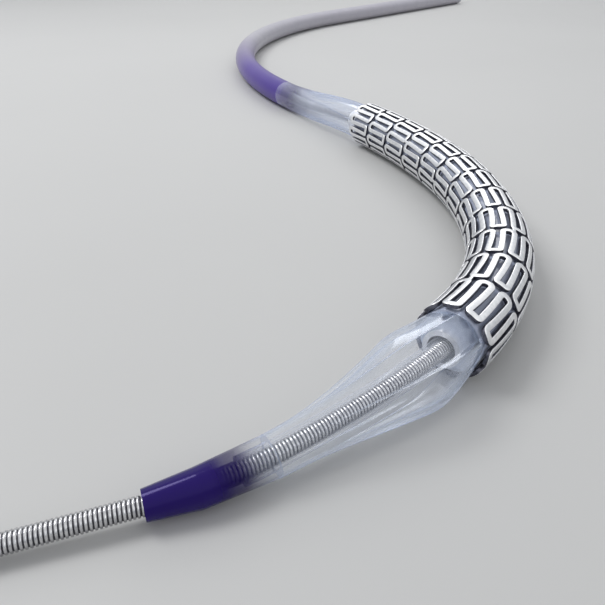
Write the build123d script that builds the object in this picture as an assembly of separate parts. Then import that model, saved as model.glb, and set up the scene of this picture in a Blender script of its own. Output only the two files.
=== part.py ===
from build123d import *
from math import copysign, cos, degrees, hypot, pi, radians, sin, tan
import os

# A balloon-expandable vascular stent, crimped on the folded balloon of its delivery
# catheter and threaded on a coil-tipped guide wire, lying on a flat surface.
# Sizes are in millimetres and angles in degrees. "Tip side" is the end of the soft
# purple tip, "shaft side" is the end of the long purple catheter shaft.

# Stent: rings of zigzag struts cut from one tube, joined by short links
stent_od = 1.70
stent_wall = 0.10
ring_count = 12
crown_count = 10
ring_pitch = 1.44
ring_gap = 0.08
strut_width = 0.15
crown_slot_width = 0.15
crown_phase = 10.0
links_per_gap = 2
link_width = 0.11
link_shift = 2

# Guide wire and the tube that it runs in, from the soft tip into the shaft
wire_od = 0.36
wire_clearance = 0.02
inner_tube_wall = 0.06
inner_tube_od = wire_od + 2 * (wire_clearance + inner_tube_wall)
tube_socket_depth = 0.60
socket_clearance = 0.01

# Marker bands on that tube, at both ends of the stent; straight on a bent tube
marker_wall = 0.11
marker_clearance = 0.05
marker_bore = inner_tube_od + 2 * marker_clearance
marker_od = marker_bore + 2 * marker_wall
marker_length = 1.50
tip_marker_reach = 0.35
shaft_marker_reach = 0.70

# Balloon: folded film under the stent, opening into a pleated cone at both ends
film = 0.03
fold_clearance = 0.02
balloon_fold_od = stent_od - 2 * (stent_wall + fold_clearance)
balloon_fold_bore = marker_od + 0.12
balloon_pleats = 10
balloon_pleat_depth = 0.10
balloon_shoulder_width = stent_od + 0.14
balloon_shoulder_height = stent_od - 0.14
collar_length = 0.90
sleeve_length = 1.00

# Soft tip
tip_end_od = 0.53
tip_middle_od = 0.70
tip_root_od = 0.79

# Catheter shaft
shaft_od = 1.20
shaft_wall = 0.16

# Centre line, from the stent's tip-side end: (length, turn to the left, rise) of each
# stretch, seen by someone walking from the tip towards the shaft
stent_length = ring_count * ring_pitch
rings_per_bend = ring_count // 3
stent_turns = (34.3, 21.4, 13.8)
neck_length = 6.25
neck_dip = degrees((stent_od - shaft_od) / neck_length)
shoulder_run = (2.15, 11.5, -6.4)
cone_run = (2.40, 6.5, 0.0)
tip_run = (2.20, 12.5, 4.2)
wire_run = (3.70, 0.0, 0.0)
neck_drop = (neck_length / 2, 0.0, -neck_dip)
neck_level = (neck_length / 2, 0.0, neck_dip)
shaft_sweep = (32.3, -70.0, 0.0)
shaft_end_run = (22.0, 0.0, 0.0)
stent_heading = 49.5

towards_tip = [shoulder_run, cone_run, tip_run, wire_run]
towards_shaft = [(rings_per_bend * ring_pitch, turn, 0.0) for turn in stent_turns]
towards_shaft += [neck_drop, neck_level, shaft_sweep, shaft_end_run]

# Places along the centre line, measured from the stent's tip-side end
cone_end = -shoulder_run[0]
tip_root = cone_end - cone_run[0]
tip_end = tip_root - tip_run[0]
wire_end = tip_end - wire_run[0]
neck_end = stent_length + neck_drop[0] + neck_level[0]
shaft_start = neck_end + collar_length
shaft_end = neck_end + shaft_sweep[0] + shaft_end_run[0]


def follow(start, stretch, distance):
    """The plane that start becomes after a distance along one stretch."""
    length, turn, rise = stretch
    total = hypot(turn, rise)
    if total == 0:
        return Plane(start.origin + start.z_dir * distance, start.x_dir, start.z_dir)
    spin = (start.y_dir * turn - start.x_dir * rise).normalized()
    radius = length / radians(total)
    centre = start.origin + spin.cross(start.z_dir) * radius
    axis = Axis(centre, spin)
    angle = total * distance / length
    origin = centre + (start.origin - centre).rotate(axis, angle)
    return Plane(origin, start.x_dir.rotate(axis, angle), start.z_dir.rotate(axis, angle))


def stent_start():
    """The level plane at the stent's tip-side end: z along the line, x left, y up."""
    ahead = Vector(cos(radians(stent_heading)), sin(radians(stent_heading)), 0)
    up = Vector(0, 0, 1)
    return Plane((0, 0, stent_od / 2), up.cross(ahead), ahead)


def section(place):
    """The plane across the centre line at a place along it."""
    here = stent_start()
    stretches = towards_tip if place < 0 else towards_shaft
    sense = -1 if place < 0 else 1
    left = abs(place)
    for stretch in stretches[:-1]:
        if left <= stretch[0]:
            return follow(here, stretch, sense * left)
        here = follow(here, stretch, sense * stretch[0])
        left -= stretch[0]
    return follow(here, stretches[-1], sense * left)


def breaks(first, last):
    """The places from first to last where the centre line's run changes."""
    places = [first, last]
    places += [ring * ring_pitch for ring in range(ring_count + 1)]
    for sense, stretches in ((-1, towards_tip), (1, towards_shaft)):
        at = 0
        for stretch in stretches:
            at += sense * stretch[0]
            places.append(at)
    return sorted({round(p, 6) for p in places if first <= p <= last})


def rod(first, last, diameter):
    """A round bar along the centre line: straight in each ring, bent elsewhere."""
    places = breaks(first, last)
    lengths = []
    for a, b in zip(places[:-1], places[1:]):
        pa, pm, pb = (section(p) for p in (a, (a + b) / 2, b))
        if a >= 0 and b <= stent_length:
            lengths.append(loft([p * Circle(diameter / 2) for p in (pa, pb)], ruled=True))
        elif pa.z_dir.get_angle(pb.z_dir) < 1e-6:
            lengths.append(extrude(pa * Circle(diameter / 2), b - a))
        else:
            bend = ThreePointArc(pa.origin, pm.origin, pb.origin)
            lengths.append(sweep(pa * Circle(diameter / 2), path=bend))
    return lengths[0].fuse(*lengths[1:]) if len(lengths) > 1 else lengths[0]


def tube(first, last, outside, bore):
    """A round tube along the centre line."""
    return rod(first, last, outside) - rod(first, last, bore)


# Stent

outer_r = stent_od / 2
inner_r = outer_r - stent_wall
slots_per_ring = 2 * crown_count
slot_step = 360 / slots_per_ring
slot_mouth = 2 * (pi * stent_od / slots_per_ring - strut_width) - crown_slot_width


def flat_sided(radius, sides):
    """A many-sided outline with a corner at the first slot's angle."""
    return RegularPolygon(radius, sides, rotation=90 - crown_phase)


def crown_frame(here, angle):
    """The plane at an angle round the tube: x round it, y along it, z outwards.

    The angle is measured from the top towards the left.
    """
    out = here.y_dir * cos(radians(angle)) + here.x_dir * sin(radians(angle))
    return Plane(here.origin, here.z_dir.cross(out), out)


def slot(here, angle, closed_end, mouth_end):
    """A cut between two struts, which narrows from its closed end to its mouth."""
    beyond = mouth_end + copysign(ring_gap, mouth_end - closed_end)
    outline = [(-crown_slot_width / 2, closed_end), (crown_slot_width / 2, closed_end),
               (slot_mouth / 2, mouth_end), (slot_mouth / 2, beyond),
               (-slot_mouth / 2, beyond), (-slot_mouth / 2, mouth_end)]
    face = make_face(Polyline(*outline, close=True))
    return crown_frame(here, angle) * extrude(Pos(0, 0, outer_r) * face, 2 * stent_wall, both=True)


def ring(index):
    """One zigzag ring: a length of tube with a flat for each strut, mitred to the bend,

    with slots cut in turn from its tip side and its shaft side.
    """
    first = section(index * ring_pitch + ring_gap / 2)
    last = section((index + 1) * ring_pitch - ring_gap / 2)
    along = last.origin - first.origin
    middle = Plane((first.origin + last.origin) / 2, first.x_dir, along)
    mitre = radians(first.z_dir.get_angle(along))
    wall = flat_sided(outer_r, slots_per_ring) - flat_sided(inner_r, slots_per_ring)
    beyond = 2 * stent_od
    cuts = [first * Pos(0, 0, -beyond / 2) * Box(beyond, beyond, beyond),
            last * Pos(0, 0, beyond / 2) * Box(beyond, beyond, beyond)]
    for number in range(slots_per_ring):
        angle = crown_phase + number * slot_step
        half = along.length / 2 - outer_r * tan(mitre) * sin(radians(angle))
        sense = 1 if number % 2 == 0 else -1
        cuts.append(slot(middle, angle, sense * (strut_width - half), sense * half))
    return extrude(middle * wall, ring_pitch / 2, both=True) - cuts


def link(gap, number):
    """A short bar from a ring's shaft-side crown to the next ring's tip-side crown."""
    turned = 2 * slot_step * (number * crown_count // links_per_gap + gap * link_shift)
    angle = crown_phase + slot_step / 2 + turned
    bar = Box(link_width, ring_gap + strut_width, 0.8 * stent_wall)
    middle = (outer_r + inner_r) / 2 * cos(radians(slot_step / 2))
    return crown_frame(section((gap + 1) * ring_pitch), angle) * Pos(0, 0, middle) * bar


def stent():
    """All rings and links, cut from one tube and so one solid."""
    rings = [ring(i) for i in range(ring_count)]
    links = [link(g, n) for g in range(ring_count - 1) for n in range(links_per_gap)]
    return rings[0].fuse(*rings[1:], *links)


# Guide wire

def guide_wire():
    """The coil soldered on its core, as one plain round body with a rounded end.

    It is finished plainly where it goes out of sight, in the shaft.
    """
    radius = wire_od / 2
    end = section(wire_end + radius)
    dome = extrude(end * Circle(radius), -radius)
    dome = fillet(dome.edges().sort_by(Axis(end.origin, end.z_dir))[0], 0.95 * radius)
    return rod(wire_end + radius, inner_tube_end, wire_od).fuse(dome)


# Guide wire tube and marker bands

wire_bore = wire_od + 2 * wire_clearance
tube_bore = inner_tube_od + 2 * socket_clearance
inner_tube_start = tip_root - tube_socket_depth
sleeve_end = shaft_start + sleeve_length
inner_tube_end = sleeve_end + tube_socket_depth


def inner_tube():
    """The tube that the guide wire runs in, socketed in the soft tip and the shaft."""
    return tube(inner_tube_start, inner_tube_end, inner_tube_od, wire_bore)


def marker_band(first):
    """A plain straight metal band on the inner tube."""
    start, end = (section(place).origin for place in (first, first + marker_length))
    middle = Plane((start + end) / 2, z_dir=end - start)
    band = Circle(marker_od / 2) - Circle(marker_bore / 2)
    return extrude(middle * band, marker_length / 2, both=True)


# Soft tip

def soft_tip():
    """A tapering nose with a bore for the wire and a socket for the inner tube."""
    middle = tip_root - 0.6 * tip_run[0]
    stations = ((tip_end, tip_end_od), (middle, tip_middle_od), (tip_root, tip_root_od))
    nose = loft([section(place) * Circle(od / 2) for place, od in stations], ruled=True)
    bore = rod(tip_end, inner_tube_start, wire_bore)
    socket = rod(inner_tube_start, tip_root, tube_bore)
    return nose - bore - socket


# Balloon

sleeve_od = shaft_od - 2 * shaft_wall - 2 * socket_clearance


def pleated(place, width, height, pleat, inset):
    """An oval outline of ridges and furrows, drawn in by the inset."""
    corners = []
    for number in range(2 * balloon_pleats):
        angle = radians(90 - crown_phase + number * 180 / balloon_pleats)
        depth = inset + (pleat if number % 2 else 0)
        corners.append(((width / 2 - depth) * cos(angle), (height / 2 - depth) * sin(angle)))
    return section(place) * make_face(Polyline(*corners, close=True))


def tip_station(place, share):
    """A station of the tip-side cone, a share of the way from its root to its shoulder."""
    width, height = (tip_root_od + share * (size - tip_root_od)
                     for size in (balloon_shoulder_width, balloon_shoulder_height))
    return place, width, height, share * balloon_pleat_depth


def cone(stations):
    """A hollow film body through (place, width, height, pleat depth) stations."""
    outside, inside = (loft([pleated(*station, inset) for station in stations], ruled=True)
                       for inset in (0, film))
    return outside - inside


def packed_fold(ring):
    """The folded film under one ring of the stent."""
    outside, bore = (loft([section(at * ring_pitch) * flat_sided(diameter / 2, sides)
                           for at in (ring, ring + 1)], ruled=True)
                     for diameter, sides in ((balloon_fold_od, 2 * balloon_pleats),
                                             (balloon_fold_bore, balloon_pleats)))
    return outside - bore


def balloon():
    """The folded balloon: packed under the stent, with a pleated cone at each end."""
    fold = (balloon_fold_od, balloon_fold_od)
    swollen = (balloon_shoulder_width, balloon_shoulder_height)
    tip_cone = cone((
        tip_station(tip_root, 0),
        tip_station(cone_end - 0.70 * cone_run[0], 0.07),
        tip_station(cone_end - 0.20 * cone_run[0], 0.52),
        (cone_end + 0.40 * shoulder_run[0], *swollen, balloon_pleat_depth),
        (0, *fold, 0),
    ))
    shaft_cone = cone((
        (stent_length, *fold, 0),
        (stent_length + 0.20 * neck_drop[0], *(size + balloon_pleat_depth for size in fold),
         balloon_pleat_depth),
        (stent_length + neck_drop[0], *fold, balloon_pleat_depth),
        (neck_end, shaft_od, shaft_od, 0),
    ))
    collar = tube(neck_end, shaft_start, shaft_od, shaft_od - 2 * film)
    step = tube(shaft_start - film, shaft_start, shaft_od - 2 * film, sleeve_od - 2 * film)
    sleeve = tube(shaft_start - film, sleeve_end, sleeve_od, sleeve_od - 2 * film)
    packed = [packed_fold(ring) for ring in range(ring_count)]
    return packed[0].fuse(*packed[1:], tip_cone, shaft_cone, collar, step, sleeve)


# Shaft

def catheter_shaft():
    """The shaft, with sockets at its front for the balloon's sleeve and the inner tube.

    It is finished plainly at its far end, where it is cut off.
    """
    outside = rod(shaft_start, shaft_end, shaft_od)
    sleeve_socket = rod(shaft_start, sleeve_end, shaft_od - 2 * shaft_wall)
    return outside - sleeve_socket - rod(sleeve_end, inner_tube_end, tube_bore)


parts = {
    "stent": stent(),
    "balloon": balloon(),
    "soft_tip": soft_tip(),
    "inner_tube": inner_tube(),
    "marker_band_tip_side": marker_band(-tip_marker_reach),
    "marker_band_shaft_side": marker_band(stent_length + shaft_marker_reach - marker_length),
    "catheter_shaft": catheter_shaft(),
    "guide_wire": guide_wire(),
}

# The origin is on the resting surface, under the middle of the whole device
bounds = Compound(list(parts.values())).bounding_box()
to_origin = Pos(-bounds.center().X, -bounds.center().Y, -bounds.min.Z)

os.makedirs("parts", exist_ok=True)
for name, part in parts.items():
    export_step(to_origin * part, f"parts/{name}.step")
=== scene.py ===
import bpy
import numpy as np
from math import ceil, cos, degrees, hypot, pi, radians, sin
from mathutils import Matrix, Vector


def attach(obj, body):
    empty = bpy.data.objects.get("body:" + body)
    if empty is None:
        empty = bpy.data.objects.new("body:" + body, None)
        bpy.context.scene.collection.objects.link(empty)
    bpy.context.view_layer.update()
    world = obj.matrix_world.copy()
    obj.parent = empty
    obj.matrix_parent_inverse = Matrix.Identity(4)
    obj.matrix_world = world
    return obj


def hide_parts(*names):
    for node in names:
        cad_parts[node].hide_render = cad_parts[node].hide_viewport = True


# A crimped vascular stent on its balloon catheter, with a coil-tipped guide wire.
# Sizes are in millimetres until they reach a mesh, which is in metres. "Tip side" is the
# end of the soft violet nose, and "shaft side" is the end of the long shaft.

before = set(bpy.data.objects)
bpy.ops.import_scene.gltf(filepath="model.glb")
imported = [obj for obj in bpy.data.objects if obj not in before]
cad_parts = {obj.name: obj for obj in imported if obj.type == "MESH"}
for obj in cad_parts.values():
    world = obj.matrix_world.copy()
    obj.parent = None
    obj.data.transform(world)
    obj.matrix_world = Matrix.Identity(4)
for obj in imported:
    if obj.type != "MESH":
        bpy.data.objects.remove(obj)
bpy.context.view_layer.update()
MM = 0.001

# Where the stent's tip-side end lies in the frame
STENT_END = Vector((-2.8346, -31.8814, 0.8499))

# Stent
STENT_OD, STENT_WALL = 1.70, 0.10
RINGS, CROWNS = 12, 10
RING_PITCH, RING_GAP = 1.44, 0.08
STRUT_WIDTH, SLOT_WIDTH = 0.15, 0.15
CROWN_PHASE = 10.0
LINKS_PER_GAP, LINK_SHIFT, LINK_WIDTH = 2, 2, 0.10

# What the stent rides on
WIRE_OD, COIL_WIRE, COIL_PITCH = 0.36, 0.060, 0.072
TUBE_SOCKET = 0.60
TIP_ROOT_OD = 0.79
FOLD_OD = 1.44
COLLAR_LENGTH, SLEEVE_LENGTH, SHAFT_OD = 0.90, 1.00, 1.20

# The centre line: (length, turn to the left, rise) of each stretch from the stent's end
STENT_LENGTH = RINGS * RING_PITCH
NECK_LENGTH = 6.25
NECK_DIP = degrees((STENT_OD - SHAFT_OD) / NECK_LENGTH)
HEADING = 49.5
SHOULDER_RUN, CONE_RUN = (2.15, 11.5, -6.4), (2.40, 6.5, 0.0)
TIP_RUN, WIRE_RUN = (2.20, 12.5, 4.2), (3.70, 0.0, 0.0)
STENT_TURNS = (34.3, 21.4, 13.8)
NECK_DROP, NECK_LEVEL = (NECK_LENGTH / 2, 0.0, -NECK_DIP), (NECK_LENGTH / 2, 0.0, NECK_DIP)
SHAFT_SWEEP, SHAFT_END_RUN = (32.3, -70.0, 0.0), (22.0, 0.0, 0.0)
TOWARDS_TIP = [SHOULDER_RUN, CONE_RUN, TIP_RUN, WIRE_RUN]
TOWARDS_SHAFT = [(STENT_LENGTH / len(STENT_TURNS), turn, 0.0) for turn in STENT_TURNS]
TOWARDS_SHAFT += [NECK_DROP, NECK_LEVEL, SHAFT_SWEEP, SHAFT_END_RUN]

# Places along the centre line, measured from the stent's tip-side end
TIP_ROOT = -SHOULDER_RUN[0] - CONE_RUN[0]
TIP_END = TIP_ROOT - TIP_RUN[0]
WIRE_END = TIP_END - WIRE_RUN[0]
NECK_END = STENT_LENGTH + NECK_LENGTH
SHAFT_START = NECK_END + COLLAR_LENGTH
SHAFT_END = NECK_END + SHAFT_SWEEP[0] + SHAFT_END_RUN[0]
TABLE_STEP, TABLE_MARGIN = 0.02, 1


def follow(origin, axes, stretch, distance):
    """The place and axes (left, up, ahead) after a distance along one stretch."""
    length, turn, rise = stretch
    total = hypot(turn, rise)
    left, up, ahead = axes
    if total == 0:
        return origin + ahead * distance, axes
    spin = (up * turn - left * rise).normalized()
    centre = origin + spin.cross(ahead) * (length / radians(total))
    turned = Matrix.Rotation(radians(total * distance / length), 3, spin)
    return centre + turned @ (origin - centre), [turned @ axis for axis in axes]


def section(place):
    """The point and axes at a place along the centre line."""
    ahead = Vector((cos(radians(HEADING)), sin(radians(HEADING)), 0))
    up = Vector((0, 0, 1))
    here = (STENT_END, [up.cross(ahead), up, ahead])
    stretches = TOWARDS_TIP if place < 0 else TOWARDS_SHAFT
    sense = -1 if place < 0 else 1
    to_go = abs(place)
    for stretch in stretches[:-1]:
        if to_go <= stretch[0]:
            return follow(*here, stretch, sense * to_go)
        here = follow(*here, stretch, sense * stretch[0])
        to_go -= stretch[0]
    return follow(*here, stretches[-1], sense * to_go)


TABLE_PLACES = np.arange(WIRE_END - TABLE_MARGIN, SHAFT_END + TABLE_MARGIN, TABLE_STEP)
TABLE = np.array([[*here[0], *here[1][0], *here[1][1]]
                  for here in map(section, TABLE_PLACES)])


def on_line(place, angle, radius):
    """Points round the centre line, in metres. The angle runs from the top to the left."""
    place, angle, radius = np.broadcast_arrays(place, angle, radius)
    row = [np.interp(place, TABLE_PLACES, column)[..., None] for column in TABLE.T]
    origin, left, up = (np.concatenate(row[i:i + 3], -1) for i in (0, 3, 6))
    out = up * np.cos(angle)[..., None] + left * np.sin(angle)[..., None]
    return (origin + out * radius[..., None]) * MM


def smooth(low, high, value):
    """0 on the side of low, 1 on the side of high and a smooth change between them."""
    share = np.clip((value - low) / (high - low), 0, 1)
    return share * share * (3 - 2 * share)


# Meshes

def add_mesh(name, points, faces, material):
    """One smooth-shaded piece that rides on the body."""
    mesh = bpy.data.meshes.new(name)
    mesh.from_pydata([tuple(p) for p in points], [], [tuple(f) for f in faces])
    mesh.polygons.foreach_set("use_smooth", [True] * len(mesh.polygons))
    mesh.materials.append(material)
    mesh.update()
    piece = bpy.data.objects.new(name, mesh)
    bpy.context.collection.objects.link(piece)
    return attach(piece, "root")


def grid_faces(rows, columns, start, closed):
    """Quads between successive rows of points that each close on themselves."""
    faces = []
    for row in range(rows if closed else rows - 1):
        here, there = start + row * columns, start + (row + 1) % rows * columns
        for column in range(columns):
            after = (column + 1) % columns
            faces.append((here + column, here + after, there + after, there + column))
    return faces


def second_material(piece, material, chosen):
    """Give the faces that are chosen, by number, another material."""
    piece.data.materials.append(material)
    for number in chosen:
        piece.data.polygons[int(number)].material_index = 1


def hose(name, places, radius, material, segments, capped=False):
    """A body along the centre line, whose radius is a function of place and angle."""
    angles = np.arange(segments) * 2 * pi / segments
    place, angle = places[:, None], angles[None, :]
    grid = on_line(place, angle, radius(place, angle))
    faces = grid_faces(len(places), segments, 0, False)
    if capped:
        faces.append(tuple(range(segments))[::-1])
        faces.append(tuple(range((len(places) - 1) * segments, len(places) * segments)))
    return add_mesh(name, grid.reshape(-1, 3), faces, material)


# Nodes that the materials are made of

def new_material(name):
    material = bpy.data.materials.new(name)
    material.use_nodes = True
    nodes = material.node_tree.nodes
    nodes.clear()
    return material, nodes, material.node_tree.links


def object_noise(nodes, links, scale):
    """Noise in the piece's own space, with about this many features to a metre."""
    place = nodes.new("ShaderNodeTexCoord")
    noise = nodes.new("ShaderNodeTexNoise")
    noise.inputs["Scale"].default_value = scale
    noise.inputs["Detail"].default_value = 4.0
    links.new(place.outputs["Object"], noise.inputs["Vector"])
    return noise.outputs["Fac"]


def ramp(nodes, links, factor, stops, eased=False):
    """A colour ramp with (position, colour) stops."""
    node = nodes.new("ShaderNodeValToRGB")
    if eased:
        node.color_ramp.interpolation = "EASE"
    elements = node.color_ramp.elements
    while len(elements) < len(stops):
        elements.new(0.5)
    for element, (position, colour) in zip(elements, stops):
        element.position = position
        element.color = (*colour, 1)
    links.new(factor, node.inputs["Fac"])
    return node.outputs["Color"]


def mottled(nodes, links, noise, dark, light):
    """Dark in the noise's troughs, light on its crests."""
    return ramp(nodes, links, noise, [(0.3, dark), (0.7, light)])


def grey(value):
    return (value, value, value)


def dimmed(colour, share):
    return tuple(share * channel for channel in colour)


def along(nodes, links, place, reach):
    """0 to 1 over a reach of the centre line, centred on a place."""
    origin, (_, _, ahead) = section(place)
    where = nodes.new("ShaderNodeTexCoord")
    shift = nodes.new("ShaderNodeVectorMath")
    shift.operation = "SUBTRACT"
    shift.inputs[1].default_value = (origin - ahead * reach / 2) * MM
    dot = nodes.new("ShaderNodeVectorMath")
    dot.operation = "DOT_PRODUCT"
    dot.inputs[1].default_value = ahead / (reach * MM)
    clamp = nodes.new("ShaderNodeClamp")
    links.new(where.outputs["Object"], shift.inputs[0])
    links.new(shift.outputs["Vector"], dot.inputs[0])
    links.new(dot.outputs["Value"], clamp.inputs["Value"])
    return clamp.outputs["Result"]


def rise(nodes, links, value, start, low, high):
    """Low up to a start, then a smooth rise to high where the value is 1."""
    node = nodes.new("ShaderNodeMapRange")
    node.interpolation_type = "SMOOTHSTEP"
    node.inputs["From Min"].default_value = start
    node.inputs["To Min"].default_value = low
    node.inputs["To Max"].default_value = high
    links.new(value, node.inputs["Value"])
    return node.outputs["Result"]


def higher(nodes, links, first, second):
    node = nodes.new("ShaderNodeMath")
    node.operation = "MAXIMUM"
    links.new(first, node.inputs[0])
    links.new(second, node.inputs[1])
    return node.outputs["Value"]


def blend(nodes, links, share, first, second):
    """Two shaders mixed; the second one's share is a number or comes from a node."""
    mix = nodes.new("ShaderNodeMixShader")
    if isinstance(share, float):
        mix.inputs["Fac"].default_value = share
    else:
        links.new(share, mix.inputs["Fac"])
    links.new(first, mix.inputs[1])
    links.new(second, mix.inputs[2])
    return mix.outputs["Shader"]


def bump(nodes, links, height, strength, distance):
    node = nodes.new("ShaderNodeBump")
    node.inputs["Strength"].default_value = strength
    node.inputs["Distance"].default_value = distance * MM
    links.new(height, node.inputs["Height"])
    return node.outputs["Normal"]


def finish_surface(nodes, links, shader):
    output = nodes.new("ShaderNodeOutputMaterial")
    links.new(shader, output.inputs["Surface"])


# Materials

def metal(name, dark, light, roughness, grain):
    """Polished metal with a fine grain in its colour, its gloss and its surface."""
    material, nodes, links = new_material(name)
    shader = nodes.new("ShaderNodeBsdfPrincipled")
    shader.inputs["Metallic"].default_value = 1.0
    noise = object_noise(nodes, links, grain)
    links.new(mottled(nodes, links, noise, dark, light), shader.inputs["Base Color"])
    shine = nodes.new("ShaderNodeMapRange")
    shine.inputs["To Min"].default_value = 0.8 * roughness
    shine.inputs["To Max"].default_value = 1.2 * roughness
    links.new(noise, shine.inputs["Value"])
    links.new(shine.outputs["Result"], shader.inputs["Roughness"])
    links.new(bump(nodes, links, noise, 0.05, 0.01), shader.inputs["Normal"])
    finish_surface(nodes, links, shader.outputs["BSDF"])
    return material


def plastic(name, stops, place, reach, roughness):
    """Satin plastic whose colour runs through stops along the device."""
    material, nodes, links = new_material(name)
    shader = nodes.new("ShaderNodeBsdfPrincipled")
    shader.inputs["Roughness"].default_value = roughness
    shader.inputs["Specular Tint"].default_value = (0.70, 0.65, 1.0, 1)
    noise = object_noise(nodes, links, PLASTIC_GRAIN)
    mottle = nodes.new("ShaderNodeMixRGB")
    mottle.blend_type = "MULTIPLY"
    mottle.inputs["Fac"].default_value = 0.25
    links.new(ramp(nodes, links, along(nodes, links, place, reach), stops), mottle.inputs["Color1"])
    links.new(mottled(nodes, links, noise, (0.75, 0.75, 0.8), grey(1.0)), mottle.inputs["Color2"])
    links.new(mottle.outputs["Color"], shader.inputs["Base Color"])
    links.new(bump(nodes, links, noise, 0.04, 0.02), shader.inputs["Normal"])
    finish_surface(nodes, links, shader.outputs["BSDF"])
    return material


def at_root(nodes, links, root, colour, cover, through):
    """A film's colour, cover and light from behind, changed next to coloured plastic.

    Root gives the place where the film starts to clear, the reach over which it does and
    the plastic's colour.
    """
    place, reach, root_colour = root
    away = along(nodes, links, place + reach / 2, reach)
    tinted = nodes.new("ShaderNodeMixRGB")
    tinted.inputs["Color1"].default_value = (*root_colour, 1)
    clearing = [(0.35, grey(0.0)), (0.90, grey(1.0))]
    links.new(ramp(nodes, links, away, clearing, True), tinted.inputs["Fac"])
    links.new(colour, tinted.inputs["Color2"])
    thinning = [(0.0, grey(1.0)), (0.3, grey(0.55)), (0.65, grey(0.15)), (1.0, grey(0.0))]
    cover = higher(nodes, links, ramp(nodes, links, away, thinning, True), cover)
    through = ramp(nodes, links, away, [(0.0, grey(0.0)), (1.0, grey(through))])
    return tinted.outputs["Color"], cover, through


def film(name, tint, body, edge, through=0.0, mirrored=0.0, root=None,
         gloss_tint=(0.85, 0.85, 1.0)):
    """Clear film: see-through face on, whiter where it is seen along its surface.

    Body and edge say how far it covers what is behind it, seen in those two ways. Through
    is the share of its light that comes from behind, and mirrored the most that its edge
    mirrors.
    """
    material, nodes, links = new_material(name)
    noise = object_noise(nodes, links, FILM_GRAIN)
    colour = mottled(nodes, links, noise, dimmed(tint, 0.88), tint)
    weight = nodes.new("ShaderNodeLayerWeight")
    weight.inputs["Blend"].default_value = 0.5
    cover = rise(nodes, links, weight.outputs["Facing"], 0.30, body, edge)
    if root:
        colour, cover, through = at_root(nodes, links, root, colour, cover, through)
    shader = nodes.new("ShaderNodeBsdfPrincipled")
    shader.inputs["Roughness"].default_value = FILM_ROUGHNESS
    shader.inputs["Specular Tint"].default_value = (*gloss_tint, 1)
    links.new(colour, shader.inputs["Base Color"])
    behind = nodes.new("ShaderNodeBsdfTranslucent")
    links.new(colour, behind.inputs["Color"])
    clear = nodes.new("ShaderNodeBsdfTransparent")
    lit = blend(nodes, links, through, shader.outputs["BSDF"], behind.outputs["BSDF"])
    surface = blend(nodes, links, cover, clear.outputs["BSDF"], lit)
    if mirrored:
        mirror = nodes.new("ShaderNodeBsdfGlossy")
        mirror.inputs["Roughness"].default_value = FILM_ROUGHNESS
        mirror.inputs["Color"].default_value = (0.90, 0.94, 1.0, 1)
        shine = rise(nodes, links, weight.outputs["Facing"], 0.2, 0.03, mirrored)
        surface = blend(nodes, links, shine, surface, mirror.outputs["BSDF"])
    finish_surface(nodes, links, surface)
    return material


# Grain is in features to a metre
METAL_GRAIN, WIRE_GRAIN, MARKER_GRAIN = 9000.0, 12000.0, 6000.0
PLASTIC_GRAIN, FILM_GRAIN, FLOOR_GRAIN = 1500.0, 900.0, 60.0
FILM_ROUGHNESS = 0.12

TIP_VIOLET = (0.012, 0.003, 0.105)
SHAFT_VIOLET = (0.055, 0.024, 0.250)
SHAFT_STOPS = [(0.0, SHAFT_VIOLET), (0.30, (0.09, 0.050, 0.29)), (0.65, (0.27, 0.24, 0.36)),
               (1.0, (0.46, 0.45, 0.49))]
FILM_TINT, NECK_TINT = (0.74, 0.82, 1.0), (0.62, 0.72, 1.0)
PACKED_TINT, FOLD_TINT, TUBE_TINT = (0.50, 0.55, 0.70), (0.80, 0.87, 1.0), (0.85, 0.90, 1.0)
TIP_GLOSS_TINT = (0.35, 0.30, 0.65)

# Fades of film into coloured plastic: (place, reach, colour). A reach below 0 runs towards
# the tip.
TIP_FADE = (TIP_ROOT - 1.15, 1.4, TIP_VIOLET)
NECK_FADE = (SHAFT_START, -3.2, SHAFT_VIOLET)
SHAFT_FADE_MIDDLE, SHAFT_FADE = SHAFT_START + 8.0, 15.0

stent_metal = metal("stent_metal", (0.74, 0.75, 0.77), (0.92, 0.92, 0.93), 0.32, METAL_GRAIN)
# Painted shade: near-black metal for the stent struts' side walls and inner faces, where they fall
# in shade
painted_shade_strut_sides = metal("painted_shade_strut_sides", (0.07, 0.07, 0.09), (0.17, 0.17, 0.20), 0.45, METAL_GRAIN)
wire_metal = metal("wire_metal", (0.45, 0.45, 0.47), (0.68, 0.68, 0.69), 0.18, WIRE_GRAIN)
# Painted shade: near-black metal on the wire's core under the coil, for the dark gaps between the
# coil's turns
painted_shade_core = metal("painted_shade_core", (0.03, 0.03, 0.04), (0.08, 0.08, 0.09), 0.45, WIRE_GRAIN)
marker_metal = metal("marker_metal", (0.80, 0.81, 0.84), (0.95, 0.95, 0.97), 0.32, MARKER_GRAIN)
shaft_plastic = plastic("shaft_polymer", SHAFT_STOPS, SHAFT_FADE_MIDDLE, SHAFT_FADE, 0.35)
tip_film = film("tip_polymer", FILM_TINT, body=0.10, edge=0.60, through=0.45,
                root=TIP_FADE, gloss_tint=TIP_GLOSS_TINT)
cone_film = film("balloon_film", FILM_TINT, body=0.12, edge=0.85, through=0.45, mirrored=0.55,
                 root=TIP_FADE)
neck_film = film("balloon_neck_film", NECK_TINT, body=0.06, edge=0.75, through=0.45,
                 mirrored=0.40, root=NECK_FADE)
packed_film = film("balloon_packed_film", PACKED_TINT, body=0.95, edge=1.0)
fold_film = film("balloon_fold_film", FOLD_TINT, body=0.95, edge=1.0)
tube_film = film("tube_film", TUBE_TINT, body=0.02, edge=0.45, through=0.45)


# Stent: each ring is one zigzag band, laid out flat and rolled round the centre line

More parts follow.
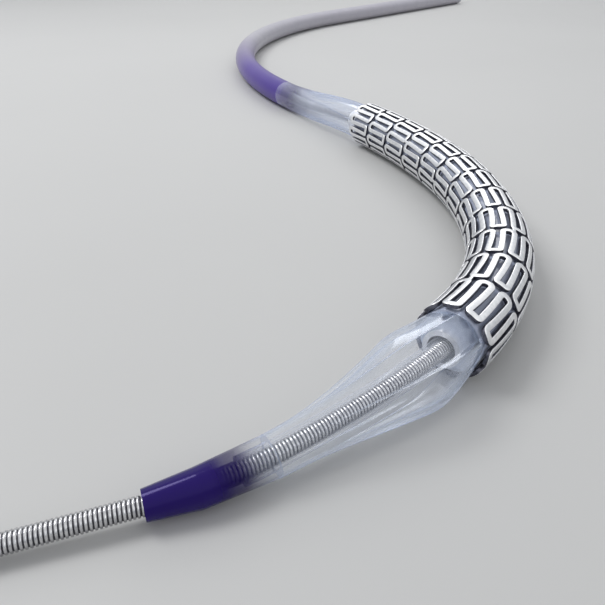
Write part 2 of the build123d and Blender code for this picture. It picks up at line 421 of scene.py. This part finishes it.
CROWN_PITCH = pi * STENT_OD / CROWNS
WRAP = np.array((pi * STENT_OD, 0.0))
TIP_CROWN_RADIUS, SHAFT_CROWN_RADIUS = 0.075, 0.12
ARC_STEPS, LEG_STEP = 5, 0.12
BAND_EDGE, EDGE_POINTS = 0.020, 4
LINK_SINK = 0.004


def crown_corners():
    """One crown's corners: (across, along, radius), from its tip-side end on."""
    half = (SLOT_WIDTH + STRUT_WIDTH) / 2
    near = (RING_GAP + STRUT_WIDTH) / 2
    far = RING_PITCH - near
    return [(-half, near, TIP_CROWN_RADIUS), (half, near, TIP_CROWN_RADIUS),
            (CROWN_PITCH / 2 - half, far, SHAFT_CROWN_RADIUS),
            (CROWN_PITCH / 2 + half, far, SHAFT_CROWN_RADIUS)]


def rounded_path(corners):
    """A path once round the stent through corners, each cut by an arc of its own radius."""
    count = len(corners)
    points = []
    for i, (x, y, radius) in enumerate(corners):
        here = np.array((x, y))
        before = np.array(corners[i - 1][:2]) - (0 if i else WRAP)
        after = np.array(corners[(i + 1) % count][:2]) + (WRAP if i == count - 1 else 0)
        to_before, to_after = before - here, after - here
        to_before /= np.linalg.norm(to_before)
        to_after /= np.linalg.norm(to_after)
        half = np.arccos(np.clip(to_before @ to_after, -1, 1)) / 2
        bisector = (to_before + to_after) / np.linalg.norm(to_before + to_after)
        centre = here + bisector * radius / sin(half)
        first = here + to_before * radius / np.tan(half) - centre
        last = here + to_after * radius / np.tan(half) - centre
        start = np.arctan2(first[1], first[0])
        sweep = (np.arctan2(last[1], last[0]) - start + pi) % (2 * pi) - pi
        for step in range(ARC_STEPS + 1):
            angle = start + sweep * step / ARC_STEPS
            points.append(centre + radius * np.array((cos(angle), sin(angle))))
    dense = []
    for i, point in enumerate(points):
        after = points[(i + 1) % len(points)] + (WRAP if i == len(points) - 1 else 0)
        pieces = max(1, ceil(np.linalg.norm(after - point) / LEG_STEP))
        dense += [point + (after - point) * k / pieces for k in range(pieces)]
    return np.array(dense)


def band_profile(width):
    """A strut's cross-section: (across, radius), with rounded edges."""
    corners = []
    half = width / 2 - BAND_EDGE
    low = STENT_OD / 2 - STENT_WALL + BAND_EDGE
    high = STENT_OD / 2 - BAND_EDGE
    for x, y, start in ((half, high, 0), (-half, high, 90), (-half, low, 180), (half, low, 270)):
        for step in range(EDGE_POINTS):
            angle = radians(start + 90 * step / (EDGE_POINTS - 1))
            corners.append((x + BAND_EDGE * cos(angle), y + BAND_EDGE * sin(angle)))
    return np.array(corners)


def swept_band(path):
    """A strut's cross-section swept along a path: (across, along, radius) grids."""
    ahead = np.roll(path, -1, 0) - path
    ahead[-1] += WRAP
    ahead /= np.linalg.norm(ahead, axis=1)[:, None]
    behind = np.roll(ahead, 1, 0)
    tangent = ahead + behind
    tangent /= np.linalg.norm(tangent, axis=1)[:, None]
    mitre = 1 / np.sqrt((1 + (ahead * behind).sum(1)) / 2)
    aside = np.stack((-tangent[:, 1], tangent[:, 0]), 1) * mitre[:, None]
    profile = band_profile(STRUT_WIDTH)
    across = path[:, None, 0] + aside[:, None, 0] * profile[None, :, 0]
    place = path[:, None, 1] + aside[:, None, 1] * profile[None, :, 0]
    return across, place, np.broadcast_to(profile[:, 1], place.shape)


def link_band(gap, number):
    """The points of one link, a straight band from crown to crown across a gap."""
    turned = 360 / CROWNS * (number * CROWNS // LINKS_PER_GAP + (gap - 1) * LINK_SHIFT)
    middle = radians(CROWN_PHASE + 90 / CROWNS + turned)
    ends = gap * RING_PITCH + np.array((-0.5, 0.5)) * (RING_GAP + STRUT_WIDTH)
    profile = band_profile(LINK_WIDTH)
    return on_line(ends[:, None], middle + profile[None, :, 0] / (STENT_OD / 2),
                   profile[None, :, 1] - LINK_SINK)


def stent_lattice():
    """All rings and links as one piece, with painted shade: near-black metal on the side walls and
    inner faces of its struts.
    """
    corners = [(x + k * CROWN_PITCH, y, radius)
               for k in range(CROWNS) for x, y, radius in crown_corners()]
    across, place, radius = swept_band(rounded_path(corners))
    angle = radians(CROWN_PHASE) + across / (STENT_OD / 2)
    rings = [on_line(ring * RING_PITCH + place, angle, radius) for ring in range(RINGS)]
    links = [link_band(gap, number)
             for gap in range(1, RINGS) for number in range(LINKS_PER_GAP)]
    points, faces = [], []
    for grids, closed in ((rings, True), (links, False)):
        for grid in grids:
            rows, columns = grid.shape[:2]
            faces += grid_faces(rows, columns, len(points), closed)
            points += list(grid.reshape(-1, 3))
    piece = add_mesh("stent_lattice", points, faces, stent_metal)
    # The faces that keep the bright metal are the outermost one and the two on each side of it; all
    # the others get painted shade, near-black metal where the struts' sides fall in shade
    column = np.arange(len(faces)) % columns
    outer_faces = (column >= 1) & (column < 2 * EDGE_POINTS - 2)
    second_material(piece, painted_shade_strut_sides, np.flatnonzero(~outer_faces))
    return piece


lattice = stent_lattice()
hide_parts("stent")


# Guide wire: a wound coil on its core, and the plain core behind it

COIL_START, COIL_END = WIRE_END + 0.25, 1.2
SOLDER_END = COIL_START + 0.01
CORE_END = SHAFT_START + SLEEVE_LENGTH + TUBE_SOCKET
TURN_STEPS, WIRE_SEGMENTS, CORE_SEGMENTS = 20, 8, 32
CORE_STEP, STEP_HALF = 0.25, 0.001
DOME_ROWS, DOME_START = 12, 0.02


def wound_coil():
    """The coil's helix, from the wire's rounded end to under the stent."""
    steps = int((COIL_END - COIL_START) / COIL_PITCH * TURN_STEPS)
    turn = np.arange(steps)[:, None] / TURN_STEPS
    ring = np.arange(WIRE_SEGMENTS)[None, :] * 2 * pi / WIRE_SEGMENTS
    place = COIL_START + turn * COIL_PITCH + COIL_WIRE / 2 * np.sin(ring)
    radius = (WIRE_OD - COIL_WIRE) / 2 + COIL_WIRE / 2 * np.cos(ring)
    grid = on_line(place, turn * 2 * pi, radius)
    faces = grid_faces(steps, WIRE_SEGMENTS, 0, False)
    return add_mesh("guide_wire_coil", grid.reshape(-1, 3), faces, wire_metal)


def core_radius(place, angle):
    """The rounded solder end, the core under the coil and the plain wire behind it."""
    full = WIRE_OD / 2
    dome = full * np.sqrt(np.clip(1 - (1 - (place - WIRE_END) / full) ** 2, 0, 1))
    radius = np.where(place < WIRE_END + full, dome, full)
    under_coil = (place > SOLDER_END) & (place < COIL_END)
    return np.where(under_coil, full - COIL_WIRE / 2, radius) + 0 * angle


def wire_core():
    """The core, with rows of points on both sides of each step in its radius."""
    dome = WIRE_END + WIRE_OD / 2 * (1 - np.cos(np.linspace(DOME_START, pi / 2, DOME_ROWS)))
    places = np.concatenate((dome,
                             (COIL_START, SOLDER_END - STEP_HALF, SOLDER_END + STEP_HALF),
                             np.arange(COIL_START + CORE_STEP, COIL_END, CORE_STEP),
                             (COIL_END - STEP_HALF, COIL_END + STEP_HALF),
                             np.arange(COIL_END + CORE_STEP, CORE_END, CORE_STEP)))
    piece = hose("guide_wire_core", places, core_radius, wire_metal, CORE_SEGMENTS, True)
    # Where the coil covers it the core gets the near-black metal: painted shade between the coil's
    # turns
    row = np.arange(len(piece.data.polygons)) // CORE_SEGMENTS
    first, last = np.searchsorted(places, (SOLDER_END, COIL_END))
    second_material(piece, painted_shade_core, np.flatnonzero((row >= first) & (row < last - 1)))
    return piece


coil = wound_coil()
core = wire_core()
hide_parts("guide_wire")


# Balloon: film in flaps that wrap round it, packed under the stent, with a cone at each end

PLEATS, FLAP_TWIST = 6, 0.10
FLAP_CURVE, FLAP_EDGE = 1.5, 0.9
OVAL_STEPS, OVAL_SMOOTHING = 400, 48

# (place, width, height) stations of the two cones
TIP_CONE = ((TIP_ROOT, TIP_ROOT_OD, TIP_ROOT_OD), (-3.83, 0.86, 0.86), (-2.63, 1.34, 1.20),
            (-1.29, 1.92, 1.60), (0.0, 1.50, 1.46), (0.4, FOLD_OD, FOLD_OD))
SHAFT_CONE = ((STENT_LENGTH - 0.4, FOLD_OD, FOLD_OD), (STENT_LENGTH + 0.60, 1.56, 1.53),
              (STENT_LENGTH + NECK_LENGTH / 2, 1.46, 1.38), (NECK_END, SHAFT_OD, SHAFT_OD),
              (SHAFT_START, SHAFT_OD, SHAFT_OD))
CONE_ROWS, CONE_SEGMENTS, CONE_OVERLAP = 150, 360, 0.3

# Pleats: their depth as a share of the radius, and the run over which they reach it
TIP_PLEATS, NECK_PLEATS = (0.16, 2.2), (0.13, 2.5)

# Wrinkles: seed, and the stretch in which their middles lie. The ranges below are of the
# drift round the film in radians to a millimetre, the width in radians, the depth and the
# reach. The fades are the plain runs at a cone's outer end and at the stent.
TIP_WRINKLES = (4, TIP_ROOT + 0.3, -0.6)
NECK_WRINKLES = (9, STENT_LENGTH + 0.3, NECK_END - 0.5)
WRINKLES = 12
DRIFTS, WIDTHS, DEPTHS, REACHES = (-0.12, 0.12), (0.05, 0.11), (0.012, 0.032), (0.8, 1.8)
OUTER_FADE, STENT_FADE = 1.0, 0.5

# Packed folds and the hollow mouths at their ends
PACKED_START, PACKED_STEP, PACKED_SEGMENTS = 0.02, 0.18, 120
FLAP_DEPTH = 0.07
MOUTH_OD, MOUTH_DEPTH, MOUTH_ROWS, MOUTH_ROLL = 0.86, 0.45, 8, 0.12


def oval(place, angle, stations):
    """The radius of an oval body, drawn smoothly through its stations."""
    at = [station[0] for station in stations]
    fine = np.linspace(at[0], at[-1], OVAL_STEPS)
    kernel = np.hanning(2 * OVAL_SMOOTHING + 1)
    kernel /= kernel.sum()
    halves = []
    for column in (1, 2):
        rough = np.interp(fine, at, [station[column] for station in stations])
        padded = np.pad(rough, OVAL_SMOOTHING, mode="edge")
        halves.append(np.interp(place, fine, np.convolve(padded, kernel, "valid")) / 2)
    wide, high = halves
    return wide * high / np.sqrt((high * np.sin(angle)) ** 2 + (wide * np.cos(angle)) ** 2)


def pleat(place, angle):
    """0 at the foot of each flap and 1 at its free edge, which covers the next foot."""
    turned = (angle / (2 * pi) * PLEATS + FLAP_TWIST * place) % 1
    return turned ** FLAP_CURVE * smooth(1.0, FLAP_EDGE, turned)


def wrinkles(seed, low, high):
    """How deep the film's long furrows, drawn by chance, are: a function to be called."""
    draw = np.random.default_rng(seed)
    lines = [(draw.uniform(0, 2 * pi), draw.uniform(*DRIFTS), draw.uniform(*WIDTHS),
              draw.uniform(*DEPTHS), draw.uniform(low, high), draw.uniform(*REACHES))
             for _ in range(WRINKLES)]

    def depth(place, angle):
        total = 0.0 * place * angle
        for at, drift, width, deepest, middle, reach in lines:
            aside = (angle - at - drift * (place - middle) + pi) % (2 * pi) - pi
            fade = np.exp(-((place - middle) / reach) ** 2)
            total = total + deepest * fade * np.exp(-(aside / width) ** 2)
        return total
    return depth


def cone_radius(stations, outer, inner, pleats, furrows):
    """A folded cone's radius, as a function to be called. Its inner end is at the stent."""
    sense = 1 if inner > outer else -1
    deepest, run = pleats

    def radius(place, angle):
        depth = deepest * smooth(outer, outer + sense * run, place)
        fade = smooth(outer, outer + sense * OUTER_FADE, place)
        fade = fade * smooth(inner, inner - sense * STENT_FADE, place)
        folded = oval(place, angle, stations) * (1 - depth * (1 - pleat(place, angle)))
        return folded - furrows(place, angle) * fade
    return radius


def packed_folds():
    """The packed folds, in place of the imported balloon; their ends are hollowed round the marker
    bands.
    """
    share = np.linspace(0, 1, MOUTH_ROWS, endpoint=False)
    middle = np.arange(PACKED_START, STENT_LENGTH - PACKED_START, PACKED_STEP)
    places = np.concatenate((PACKED_START + MOUTH_DEPTH * (1 - share), middle,
                             middle[-1] - MOUTH_DEPTH * (1 - share[::-1])))
    width = np.concatenate((share, np.ones(len(middle)), share[::-1]))[:, None]
    angles = np.arange(PACKED_SEGMENTS) * 2 * pi / PACKED_SEGMENTS
    place, angle = np.meshgrid(places, angles, indexing="ij")
    fold = pleat(np.clip(place, PACKED_START, middle[-1]), angle)
    full = FOLD_OD / 2 * (1 - FLAP_DEPTH * (1 - fold))
    radius = MOUTH_OD / 2 + (full - MOUTH_OD / 2) * width
    outwards = MOUTH_ROLL * np.sin(pi * width) * fold
    place = place + np.where(place < STENT_LENGTH / 2, -outwards, outwards)
    faces = grid_faces(len(places), len(angles), 0, False)
    points = on_line(place, angle, radius).reshape(-1, 3)
    piece = add_mesh("balloon_packed", points, faces, packed_film)
    row = np.arange(len(faces)) // len(angles)
    at_end = (row < MOUTH_ROWS) | (row >= len(places) - 1 - MOUTH_ROWS)
    second_material(piece, fold_film, np.flatnonzero(at_end))
    return piece


packed = packed_folds()
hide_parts("balloon")
tip_radius = cone_radius(TIP_CONE, TIP_ROOT, 0.0, TIP_PLEATS, wrinkles(*TIP_WRINKLES))
tip_cone = hose("balloon_tip_cone", np.linspace(TIP_ROOT, CONE_OVERLAP, CONE_ROWS),
                tip_radius, cone_film, CONE_SEGMENTS)
neck_radius = cone_radius(SHAFT_CONE, NECK_END, STENT_LENGTH, NECK_PLEATS,
                          wrinkles(*NECK_WRINKLES))
shaft_cone = hose("balloon_shaft_cone",
                  np.linspace(STENT_LENGTH - CONE_OVERLAP, SHAFT_START, CONE_ROWS),
                  neck_radius, neck_film, CONE_SEGMENTS)


# CAD nodes that stay as they are

for node, material in (("soft_tip", tip_film), ("catheter_shaft", shaft_plastic),
                       ("inner_tube", tube_film), ("marker_band_tip_side", marker_metal),
                       ("marker_band_shaft_side", marker_metal)):
    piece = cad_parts[node]
    piece.data.materials.clear()
    piece.data.materials.append(material)


# Floor, light and sky, in metres and watts

FLOOR_SIZE, FLOOR_DROP, FLOOR_COLOUR = 2.0, 0.00002, (0.56, 0.56, 0.555)

# (name, place, target, size, power) of each lamp
LAMPS = (("key", (-0.05, -0.01, 0.07), (0, -0.02, 0), (0.04, 0.04), 0.036),
         ("fill", (0.05, -0.07, 0.04), (0, -0.02, 0), (0.06, 0.04), 0.005),
         ("back", (0.01, 0.05, 0.05), (0, -0.01, 0), (0.06, 0.03), 0.010))
SKY_LIGHT, SKY_STRENGTH = (0.95, 0.97, 1.0), 0.55
SKY_STOPS = [(0.0, (0.54, 0.55, 0.56)), (0.22, (0.58, 0.60, 0.63)),
             (0.45, (0.94, 0.96, 0.98)), (1.0, (1.0, 1.0, 1.0))]


def stage_floor():
    material, nodes, links = new_material("floor")
    shader = nodes.new("ShaderNodeBsdfPrincipled")
    shader.inputs["Roughness"].default_value = 0.6
    noise = object_noise(nodes, links, FLOOR_GRAIN)
    colour = mottled(nodes, links, noise, dimmed(FLOOR_COLOUR, 0.97), FLOOR_COLOUR)
    links.new(colour, shader.inputs["Base Color"])
    finish_surface(nodes, links, shader.outputs["BSDF"])
    mesh = bpy.data.meshes.new("floor")
    half = FLOOR_SIZE / 2
    mesh.from_pydata([(-half, -half, 0), (half, -half, 0), (half, half, 0), (-half, half, 0)],
                     [], [(0, 1, 2, 3)])
    mesh.materials.append(material)
    plane = bpy.data.objects.new("floor", mesh)
    plane.location = (0, 0, -FLOOR_DROP)
    bpy.context.collection.objects.link(plane)


def area_light(name, location, target, size, power):
    light = bpy.data.lights.new(name, "AREA")
    light.shape = "RECTANGLE"
    light.size, light.size_y = size
    light.energy = power
    lamp = bpy.data.objects.new(name, light)
    lamp.location = location
    lamp.rotation_euler = (Vector(target) - Vector(location)).to_track_quat("-Z", "Y").to_euler()
    bpy.context.collection.objects.link(lamp)


def studio_sky():
    """Even light, and a sky that is seen and mirrored, darker towards the horizon."""
    world = bpy.data.worlds.new("studio")
    bpy.context.scene.world = world
    world.use_nodes = True
    nodes, links = world.node_tree.nodes, world.node_tree.links
    even = nodes["Background"]
    even.inputs["Color"].default_value = (*SKY_LIGHT, 1)
    even.inputs["Strength"].default_value = SKY_STRENGTH
    direction = nodes.new("ShaderNodeTexCoord")
    height = nodes.new("ShaderNodeSeparateXYZ")
    links.new(direction.outputs["Generated"], height.inputs["Vector"])
    seen = nodes.new("ShaderNodeBackground")
    links.new(ramp(nodes, links, height.outputs["Z"], SKY_STOPS), seen.inputs["Color"])
    ray = nodes.new("ShaderNodeLightPath")
    shown = higher(nodes, links, ray.outputs["Is Camera Ray"], ray.outputs["Is Glossy Ray"])
    shown = higher(nodes, links, shown, ray.outputs["Is Transmission Ray"])
    sky = blend(nodes, links, shown, even.outputs["Background"], seen.outputs["Background"])
    links.new(sky, nodes["World Output"].inputs["Surface"])


stage_floor()
for lamp_values in LAMPS:
    area_light(*lamp_values)
studio_sky()


# Camera

CAMERA_FROM_STENT_END = (-2.99, -10.93)
CAMERA_HEIGHT = 8.282
CAMERA_PITCH = 30.54
FOCAL_PIXELS, FRAME_PIXELS, SHIFT_PIXELS = 650.0, 605.0, 2.0
SENSOR = 36.0

camera_data = bpy.data.cameras.new("camera")
camera_data.sensor_width = SENSOR
camera_data.lens = SENSOR * FOCAL_PIXELS / FRAME_PIXELS
camera_data.clip_start, camera_data.clip_end = 0.0005, 10.0
camera_data.shift_y = -SHIFT_PIXELS / FRAME_PIXELS
camera = bpy.data.objects.new("camera", camera_data)
camera.location = Vector((STENT_END.x + CAMERA_FROM_STENT_END[0],
                          STENT_END.y + CAMERA_FROM_STENT_END[1], CAMERA_HEIGHT)) * MM
camera.rotation_euler = (radians(90 - CAMERA_PITCH), 0, 0)
bpy.context.collection.objects.link(camera)
bpy.context.scene.camera = camera

bpy.context.scene.view_settings.view_transform = "Standard"
